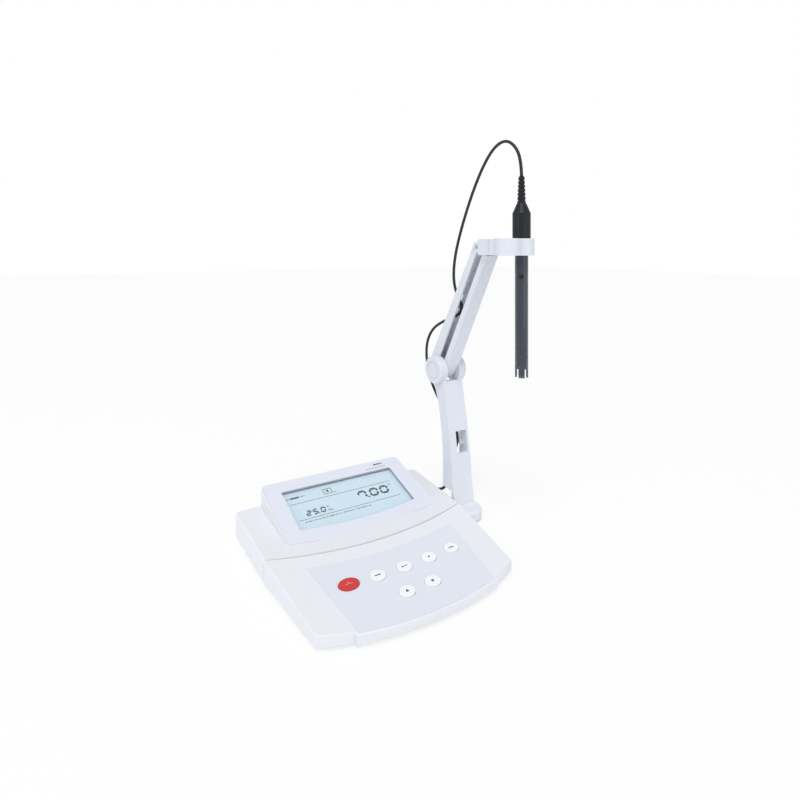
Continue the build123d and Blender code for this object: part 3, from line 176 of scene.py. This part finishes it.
M = {
    "white": material("moulded_white", (0.80, 0.81, 0.845), 0.36, bump=0.18, scale=2600, vary=0.015,
                      coat=0.15),
    "arm": material("moulded_arm", (0.75, 0.77, 0.835), 0.36, bump=0.14, scale=2600, vary=0.02,
                    coat=0.12),
    "film": material("printed_film", (0.74, 0.762, 0.83), 0.42, bump=0.25, scale=3600, vary=0.012,
                     coat=0.1),
    "panel": material("display_film", (0.74, 0.765, 0.85), 0.4, bump=0.12, scale=3600, vary=0.012,
                      coat=0.12),
    "key": material("key_white", (0.88, 0.89, 0.91), 0.45, bump=0.12, scale=3000, vary=0.01),
    "red": material("key_red", (0.62, 0.035, 0.03), 0.42, bump=0.12, scale=3000, vary=0.04),
    "key_ink_red": material("key_ink_red", (0.80, 0.22, 0.18), 0.5, bump=0.05, scale=4000, vary=0.04),
    "ink": material("ink_dark", (0.03, 0.035, 0.05), 0.5, bump=0.05, scale=4000, vary=0.08),
    "lcd": material("lcd_pale", (0.62, 0.76, 0.84), 0.35, bump=0.02, scale=5000, vary=0.01, coat=0.1),
    "guide": material("light_guide", (0.85, 0.87, 0.9), 0.5, bump=0.05, vary=0.02),
    "board": material("board_green", (0.02, 0.16, 0.06), 0.4, bump=0.3, scale=1500, vary=0.15),
    "chip": material("chip_black", (0.02, 0.02, 0.022), 0.5, bump=0.2, scale=3000, vary=0.2),
    "steel": material("zinc_steel", (0.60, 0.60, 0.62), 0.32, bump=0.2, scale=900, vary=0.06, metallic=1.0,
                      streak=(1, 12, 1)),
    "nickel": material("nickel", (0.70, 0.68, 0.64), 0.22, bump=0.12, scale=1500, vary=0.05, metallic=1.0),
    "rubber": material("rubber_black", (0.018, 0.018, 0.02), 0.62, bump=0.5, scale=2200, vary=0.2),
    "matgrey": material("silicone_grey", (0.42, 0.43, 0.45), 0.6, bump=0.3, scale=2200, vary=0.05),
    "black": material("moulded_black", (0.010, 0.011, 0.015), 0.42, bump=0.25, scale=2800, vary=0.2,
                      specular=0.35),
    "bush": material("acetal", (0.70, 0.69, 0.64), 0.45, bump=0.15, vary=0.03),
    "ceramic": material("ceramic", (0.80, 0.78, 0.72), 0.7, bump=0.5, scale=5000, vary=0.05),
    "lead": material("lead_jacket", (0.014, 0.014, 0.017), 0.5, bump=0.35, scale=3000, vary=0.25),
}


CLOUD_SCALE = 60.0
GLASS_VARY = 0.08
GLASS_COAT_ROUGH = 0.05


def glass(name, colour, rough, alpha, bump=0.03, coat=0.6):
    """A clear or smoked plastic: mostly see-through, with its own gloss."""
    m = bpy.data.materials.new(name)
    m.use_nodes = True
    nt = m.node_tree
    bsdf = nt.nodes["Principled BSDF"]
    co = nt.nodes.new("ShaderNodeTexCoord")
    noise = nt.nodes.new("ShaderNodeTexNoise")
    noise.inputs["Scale"].default_value = CLOUD_SCALE
    nt.links.new(co.outputs["Object"], noise.inputs["Vector"])
    ramp = nt.nodes.new("ShaderNodeValToRGB")
    ramp.color_ramp.elements[0].color = [c * (1 - GLASS_VARY) for c in colour] + [1]
    ramp.color_ramp.elements[1].color = [min(1, c * (1 + GLASS_VARY)) for c in colour] + [1]
    nt.links.new(noise.outputs["Fac"], ramp.inputs["Fac"])
    nt.links.new(ramp.outputs["Color"], bsdf.inputs["Base Color"])
    bsdf.inputs["Roughness"].default_value = rough
    bsdf.inputs["Alpha"].default_value = alpha
    bsdf.inputs["Coat Weight"].default_value = coat
    bsdf.inputs["Coat Roughness"].default_value = GLASS_COAT_ROUGH
    if bump:
        roughen(nt, bsdf, noise, bump)
    return m


def paint_wall_shade(m, up, colour):
    """Paints shade into the faces of a plate that do not face along its upward direction, in object
    coordinates: a painted shadow on the walls of its window and along its edges.
    """
    nt = m.node_tree
    bsdf = nt.nodes["Principled BSDF"]
    co = nt.nodes.new("ShaderNodeTexCoord")
    dot = nt.nodes.new("ShaderNodeVectorMath")
    dot.operation = "DOT_PRODUCT"
    dot.inputs[1].default_value = up
    nt.links.new(co.outputs["Normal"], dot.inputs[0])
    shade_mask = nt.nodes.new("ShaderNodeMapRange")
    shade_mask.inputs["From Min"].default_value = 0.25
    shade_mask.inputs["From Max"].default_value = 0.6
    nt.links.new(dot.outputs["Value"], shade_mask.inputs["Value"])
    mix = nt.nodes.new("ShaderNodeMix")
    mix.data_type = "RGBA"
    mix.inputs["A"].default_value = (*colour, 1)
    face = bsdf.inputs["Base Color"].links[0].from_socket
    nt.links.new(shade_mask.outputs["Result"], mix.inputs["Factor"])
    nt.links.new(face, mix.inputs["B"])
    nt.links.new(mix.outputs["Result"], bsdf.inputs["Base Color"])


DISPLAY_SLOPE = 0.258
# painted shade: the display film's window walls and edges are darkened to stand in for the shadow in the
# recess round the display
paint_wall_shade(M["panel"], Vector((0, -DISPLAY_SLOPE, 1)).normalized(), (0.40, 0.43, 0.50))
M["window"] = glass("window_clear", (0.80, 0.90, 0.95), 0.3, 0.05, bump=0.0, coat=0.0)
M["smoke"] = glass("smoked_tube", (0.022, 0.036, 0.05), 0.08, 0.78)
M["clear"] = glass("clear_glass", (0.80, 0.86, 0.88), 0.03, 0.3)

LOOKS = {
    "white": ["bottom_case", "rear_cover", "front_cover"],
    "arm": ["lower_arm", "left_elbow_cap", "right_elbow_cap", "rear_link", "front_link", "electrode_holder"],
    "panel": ["display_panel"],
    "film": ["keypad_overlay"],
    "window": ["display_window"],
    "lcd": ["lcd_glass"],
    "guide": ["lcd_backlight"],
    "board": ["main_board", "key_board"],
    "chip": ["board_parts", "temperature_socket", "power_socket", "coil_tie"],
    "matgrey": ["key_mat"],
    "red": ["power_key"],
    "key": ["mode_key", "calibrate_key", "hold_key", "enter_key", "up_key", "down_key"],
    "rubber": ["rubber_feet", "bracket_foot"],
    "steel": ["case_screws", "board_screws", "bracket_screws", "arm_bracket", "swivel_stud", "rear_elbow_pin",
              "front_elbow_pin", "rear_top_pin", "front_top_pin"],
    "nickel": ["electrode_socket", "data_socket", "plug_shell", "plug_body", "plug_pin"],
    "bush": ["swivel_bush"],
    "smoke": ["electrode_tube", "tip_guard"],
    "clear": ["glass_stem", "glass_bulb"],
    "ceramic": ["junction_ring"],
    "black": ["electrode_cap", "strain_relief", "filling_plug", "plug_boot"],
    "lead": ["lead_loop", "lead_upper", "lead_elbow", "lead_floor", "lead_tail", "lead_coil"],
}


def dress(ob, mat):
    """Gives an object one material, in place of any it has."""
    ob.data.materials.clear()
    ob.data.materials.append(mat)


WELD_GAP = 0.000005        # m
BEVEL_ANGLE = math.radians(28)
CREASE_ANGLE = math.radians(32)
HAIR_GAP = 0.00005         # m


def join_seams(ob):
    """Joins the doubled points along a CAD piece's face borders."""
    weld = ob.modifiers.new("weld", "WELD")
    weld.merge_threshold = WELD_GAP


def shade(ob, smooth):
    ob.data.polygons.foreach_set("use_smooth", [smooth] * len(ob.data.polygons))


def soften(ob, width):
    """Rounds the sharp edges of a CAD piece with modifiers, and keeps its flat faces flat."""
    join_seams(ob)
    bevel = ob.modifiers.new("bevel", "BEVEL")
    bevel.width = width
    bevel.segments = 3
    bevel.limit_method = "ANGLE"
    bevel.angle_limit = BEVEL_ANGLE
    bevel.harden_normals = False
    bevel.use_clamp_overlap = True
    bevel.miter_outer = "MITER_ARC"
    shade(ob, True)
    weighted = ob.modifiers.new("normals", "WEIGHTED_NORMAL")
    weighted.keep_sharp = False
    weighted.weight = 80


for look, names in LOOKS.items():
    for name in names:
        dress(N[name], M[look])

# the pieces with rounded edges, and the bevels' widths in metres
SOFT = {
    "rear_cover": 0.0005, "front_cover": 0.0005, "bottom_case": 0.0004, "lower_arm": 0.0006,
    "rear_link": 0.0005, "front_link": 0.0004, "electrode_holder": 0.0007, "display_panel": 0.0002,
    "keypad_overlay": 0.0001, "electrode_cap": 0.0004, "arm_bracket": 0.0003, "rubber_feet": 0.0003,
}
for name, width in SOFT.items():
    soften(N[name], width)
FLAT = ("display_window", "lcd_glass")
for name in FLAT:
    shade(N[name], False)
# the window touches the cell, so its faces draw in a little and the two surfaces never coincide
hair = N["display_window"].modifiers.new("hair_gap", "DISPLACE")
hair.direction = "NORMAL"
hair.mid_level = 0.0
hair.strength = -HAIR_GAP
for name, ob in N.items():
    if name not in SOFT and name not in FLAT:
        join_seams(ob)
        crease = ob.modifiers.new("crease", "EDGE_SPLIT")
        crease.split_angle = CREASE_ANGLE

# ------------------------------------------------------------------ the lead
# the corners of its path, in mm, from the electrode's cap to the coil, and then from the coil to the plug
ROUTE = [
    (127.3, -51.8, 347.3), (127.2, -51.4, 360.0), (126.7, -46.4, 374.6), (125.8, -34.0, 384.6),
    (124.8, -19.0, 380.6), (123.8, -5.0, 365.4), (122.6, 8.0, 343.6), (121.6, 19.8, 319.0),
    (120.8, 30.0, 294.0), (119.8, 37.0, 270.0), (118.8, 38.4, 248.0), (118.8, 33.6, 231.6),
    (120.6, 25.6, 219.4), (121.0, 28.4, 210.6), (119.4, 41.4, 204.0), (118.3, 58.4, 197.4),
    (118.3, 75.4, 187.4), (118.3, 86.0, 172.2), (118.3, 87.8, 154.4), (118.4, 83.0, 135.8),
    (118.8, 73.2, 118.4), (119.6, 58.8, 104.4), (120.8, 43.0, 93.4), (121.4, 33.4, 79.8),
    (120.4, 34.8, 65.6), (120.6, 43.6, 52.6), (122.4, 50.6, 38.2), (124.6, 54.8, 22.8),
    (125.4, 61.8, 8.4), (123.6, 76.0, 1.6), (119.0, 93.0, 1.6), (109.6, 109.4, 1.6),
    (94.2, 117.6, 1.6), (76.6, 118.4, 1.6), (59.0, 114.0, 1.6), (41.6, 110.4, 1.6),
    (24.0, 109.2, 1.6), (6.4, 107.6, 1.6),
]
TAIL = [
    (-1.0, 143.0, 3.8), (11.0, 149.0, 2.4), (26.0, 155.6, 3.6), (38.6, 150.4, 7.0),
    (42.0, 138.0, 11.6), (40.0, 125.6, 13.6),
]
LEAD_R = 0.0015            # m


def halfway(a, b):
    return tuple((p + q) / 2 for p, q in zip(a, b))


def nurbs(name, points):
    """A curve of one open spline that bends smoothly past these points, with no thickness."""
    data = bpy.data.curves.new(name, "CURVE")
    data.dimensions = "3D"
    data.resolution_u = 14
    spline = data.splines.new("NURBS")
    spline.points.add(len(points) - 1)
    for p, q in zip(spline.points, points):
        p.co = (*P(*q), 1)
    spline.order_u = 3
    spline.use_endpoint_u = True
    ob = bpy.data.objects.new(name, data)
    bpy.context.scene.collection.objects.link(ob)
    return ob


def lead(name, points, node_names):
    """A round tube along the smooth curve past these points. Returns it, its centre points and its length."""
    line = nurbs(name + "_line", points)
    bare = bpy.data.meshes.new_from_object(line)
    path = [v.co.copy() for v in bare.vertices]
    line.data.bevel_depth = LEAD_R
    line.data.bevel_resolution = 5
    line.data.use_fill_caps = True
    mesh = bpy.data.meshes.new_from_object(line)
    bpy.data.meshes.remove(bare)
    bpy.data.objects.remove(line)
    ob = bpy.data.objects.new(name, mesh)
    bpy.context.scene.collection.objects.link(ob)
    shade(ob, True)
    dress(ob, M["lead"])
    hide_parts(*node_names)
    length = sum((p - q).length for p, q in zip(path, path[1:]))
    print("LEAD", name, round(length, 4))
    return ob, path, round(length, 3)


def split(first, last):
    """The corners of one stretch, ending halfway along the runs it shares with its neighbours."""
    start = [ROUTE[0]] if first == 0 else [halfway(ROUTE[first], ROUTE[first + 1])]
    return start + ROUTE[first + 1:last + 1] + [halfway(ROUTE[last], ROUTE[last + 1])]


loop = split(0, 8)
upper = split(8, 13)
elbow = split(13, 22)

# the coil: turns beside and on each other, wound clockwise from its near side
COIL = (-12.0, 124.0)
TURNS = [(15.4, 2.0), (18.6, 2.2), (18.5, 5.3), (15.5, 5.2)]      # each turn's radius and height, mm
TURNS_WOUND = 3.5
PER_TURN = 14
STEP_FROM = 0.72                        # the share of a turn after which it moves over to the next
coil_points = []
for i in range(int(TURNS_WOUND * PER_TURN) + 1):
    turn = i / PER_TURN
    k = min(int(turn), 3)
    t = turn - k
    ease = max(0.0, (t - STEP_FROM) / (1 - STEP_FROM))
    ease = ease * ease * (3 - 2 * ease)
    nxt = TURNS[min(k + 1, 3)]
    r = TURNS[k][0] * (1 - ease) + nxt[0] * ease
    z = TURNS[k][1] * (1 - ease) + nxt[1] * ease
    a = math.radians(-90) - 2 * math.pi * turn
    coil_points.append((COIL[0] + r * math.cos(a), COIL[1] + r * math.sin(a), z))
floor_route = [halfway(ROUTE[22], ROUTE[23])] + ROUTE[23:] + coil_points + TAIL


lead_loop = lead("electrode_lead_loop", loop, ["lead_loop"])
lead_upper = lead("electrode_lead_upper", upper, ["lead_upper"])
lead_elbow = lead("electrode_lead_elbow", elbow, ["lead_elbow"])
lead_floor = lead("electrode_lead_floor", floor_route, ["lead_floor", "lead_coil", "lead_tail"])
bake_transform(lead_loop[0])
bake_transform(lead_upper[0])
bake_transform(lead_elbow[0])
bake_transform(lead_floor[0])

# ------------------------------------------------------------------ what the display shows, and printed marks
def sheet_point(plane, x, y, height):
    """A point this far above a sloping face of the console; plane is (y, z, slope)."""
    y0, z0, slope = plane
    n = Vector((0, -slope, 1)).normalized()
    return P(x, y, z0 + slope * (y - y0)) + n * (height / 1000)


def printed(name, shapes, plane, low, high, look, body):
    """Thin printed shapes on a sloping face, as one mesh that rides on one body."""
    bm = bmesh.new()
    for shape in shapes:
        under = [bm.verts.new(sheet_point(plane, x, y, low)) for x, y in shape]
        over = [bm.verts.new(sheet_point(plane, x, y, high)) for x, y in shape]
        bm.faces.new(over)
        bm.faces.new(under[::-1])
        for i in range(len(shape)):
            j = (i + 1) % len(shape)
            bm.faces.new((under[i], under[j], over[j], over[i]))
    bmesh.ops.recalc_face_normals(bm, faces=bm.faces)
    mesh = bpy.data.meshes.new(name)
    bm.to_mesh(mesh)
    bm.free()
    ob = bpy.data.objects.new(name, mesh)
    bpy.context.scene.collection.objects.link(ob)
    dress(ob, M[look])
    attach(ob, body)
    return ob


def bar(x0, y0, x1, y1):
    return [(x0, y0), (x1, y0), (x1, y1), (x0, y1)]


def disc(x, y, r, sides=20):
    return [(x + r * math.cos(2 * math.pi * i / sides), y + r * math.sin(2 * math.pi * i / sides))
            for i in range(sides)]


SEGMENTS = {"0": "abcdef", "2": "abged", "5": "afgcd", "7": "fabc"}


def digit(sign, x, y, w, h, t, slant=0.14):
    """The lit segments of a seven-segment digit whose lower left corner is (x, y)."""
    g = t * 0.04
    m = y + h / 2

    def flat(yc):
        return [(x + t / 2 + g, yc), (x + t + g, yc + t / 2), (x + w - t - g, yc + t / 2),
                (x + w - t / 2 - g, yc), (x + w - t - g, yc - t / 2), (x + t + g, yc - t / 2)]

    def tall(xc, low, high):
        return [(xc, low + g), (xc + t / 2, low + t / 2 + g), (xc + t / 2, high - t / 2 - g), (xc, high - g),
                (xc - t / 2, high - t / 2 - g), (xc - t / 2, low + t / 2 + g)]

    low, high, left, right = y + t / 2, y + h - t / 2, x + t / 2, x + w - t / 2
    parts = {"a": flat(high), "g": flat(m), "d": flat(low), "f": tall(left, m, high),
             "b": tall(right, m, high), "e": tall(left, low, m), "c": tall(right, low, m)}
    return [[(px + slant * (py - y), py) for px, py in parts[k]] for k in SEGMENTS[sign]]


DISPLAY = (16.4, 22.4, DISPLAY_SLOPE)      # the plane of the display's film
DECK = (8.5, 21.6, 0.114)                  # the plane of the keypad
shown = []
for sign, x in (("7", 10.0), ("0", 23.4), ("0", 35.4)):
    shown += digit(sign, x, 48.6, 10.2, 11.0, 2.5)
shown += [disc(21.4, 49.7, 1.05)]
for sign, x in (("2", -48.0), ("5", -41.2), ("0", -33.2)):
    shown += digit(sign, x, 45.2, 5.6, 7.0, 1.6)
shown += [disc(-34.8, 45.9, 0.7)]
shown += [bar(-58.0, 63.1, 54.0, 63.6), bar(-57.0, 42.0, 54.0, 42.5)]
# small unit marks
shown += [bar(-25.4, 50.2, -23.4, 50.8), bar(-24.7, 51.6, -22.9, 52.1)]
shown += [bar(-25.6, 45.6, -19.6, 46.2), bar(-25.6, 46.9, -21.0, 47.4)]
shown += [bar(48.4, 58.9, 52.2, 59.5), bar(48.4, 57.6, 50.8, 58.0)]
shown += [bar(-60.0, 70.6, -56.0, 71.4), bar(-55.4, 70.0, -46.4, 72.2), bar(-45.6, 70.9, -40.0, 71.6)]
# a small square sign, and a row of dashes along the lower edge
sign_bars = [(-20.6, 66.6, -11.4, 67.2), (-20.6, 73.0, -11.4, 73.6), (-20.6, 67.2, -20.0, 73.0),
             (-12.0, 67.2, -11.4, 73.0), (-18.2, 68.8, -13.8, 69.3), (-10.6, 66.6, -7.4, 67.2)]
shown += [bar(*b) for b in sign_bars]
shown += [disc(-16.0, 70.8, 1.3)]
x = -52.0
DASHES = (1.6, 4.2, 5.4, 1.8, 3.4, 2.2, 6.0, 1.6, 5.0, 2.8, 7.2, 2.2, 3.6, 5.2, 1.6, 2.4)
for i, length in enumerate(DASHES):
    shown.append(bar(x, 38.4 + 0.12 * (i % 3), x + length, 39.2 + 0.1 * (i % 2)))
    x += length + 0.9
# from just inside the cell's top to just under the window
printed("display_content", shown, DISPLAY, -3.12, -3.07, "ink", "console")

# generic marks on the display's rim, above the window's right end
rim_marks = [bar(47.0, 86.6, 50.2, 88.4), bar(51.0, 86.6, 54.4, 88.4), bar(55.0, 86.9, 57.6, 88.1)]
rim_marks += [bar(36.0 + 3.4 * i, 82.6, 36.0 + 3.4 * i + 2.6, 83.1) for i in range(7)]
printed("rim_marks", rim_marks, DISPLAY, 0.09, 0.14, "ink", "console")

# marks on the keys
KEY_TOP = 1.0                              # above the keypad's plane, mm
KEY_MARKS = {
    "power_key": [bar(-52.6, -44.2, -46.0, -43.4), bar(-49.7, -43.4, -48.9, -41.4)],
    "mode_key": [bar(-26.4, -45.5, -21.2, -44.5)],
    "calibrate_key": [bar(-1.4, -45.9, 1.0, -44.9), bar(1.7, -45.5, 4.4, -44.8)],
    "hold_key": [disc(26.8, -44.4, 0.9)],
    "enter_key": [bar(49.4, -43.1, 54.6, -42.1)],
    "up_key": [[(-12.6, -69.4), (-9.4, -69.4), (-11.0, -66.8)]],
    "down_key": [[(12.0, -67.0), (13.6, -69.6), (15.2, -67.0)]],
}
for name, shapes in KEY_MARKS.items():
    look, slot = ("key_ink_red", "key_red") if name == "power_key" else ("ink", "parts_black")
    printed(name + "_mark", shapes, DECK, KEY_TOP - 0.02, KEY_TOP + 0.03, look, name)

# ------------------------------------------------------------------ floor and the end of the script
FLOOR_HALF = 6             # m
FLOOR_GLOW = 0.8           # how far the camera sees the floor as plain white
floor_mesh = bpy.data.meshes.new("floor")
bm = bmesh.new()
bmesh.ops.create_grid(bm, x_segments=1, y_segments=1, size=FLOOR_HALF)
bm.to_mesh(floor_mesh)
bm.free()
floor = bpy.data.objects.new("floor", floor_mesh)
bpy.context.scene.collection.objects.link(floor)
pale = material("floor_pale", (0.93, 0.93, 0.94), 0.8, bump=0.02, vary=0.004)
nt = pale.node_tree
glow = nt.nodes.new("ShaderNodeEmission")
glow.inputs["Color"].default_value = (1, 1, 1, 1)
path_kind = nt.nodes.new("ShaderNodeLightPath")
share = nt.nodes.new("ShaderNodeMath")
share.operation = "MULTIPLY"
share.inputs[1].default_value = FLOOR_GLOW
blend_floor = nt.nodes.new("ShaderNodeMixShader")
nt.links.new(path_kind.outputs["Is Camera Ray"], share.inputs[0])
nt.links.new(share.outputs["Value"], blend_floor.inputs["Fac"])
nt.links.new(nt.nodes["Principled BSDF"].outputs["BSDF"], blend_floor.inputs[1])
nt.links.new(glow.outputs["Emission"], blend_floor.inputs[2])
nt.links.new(blend_floor.outputs["Shader"], nt.nodes["Material Output"].inputs["Surface"])
dress(floor, pale)
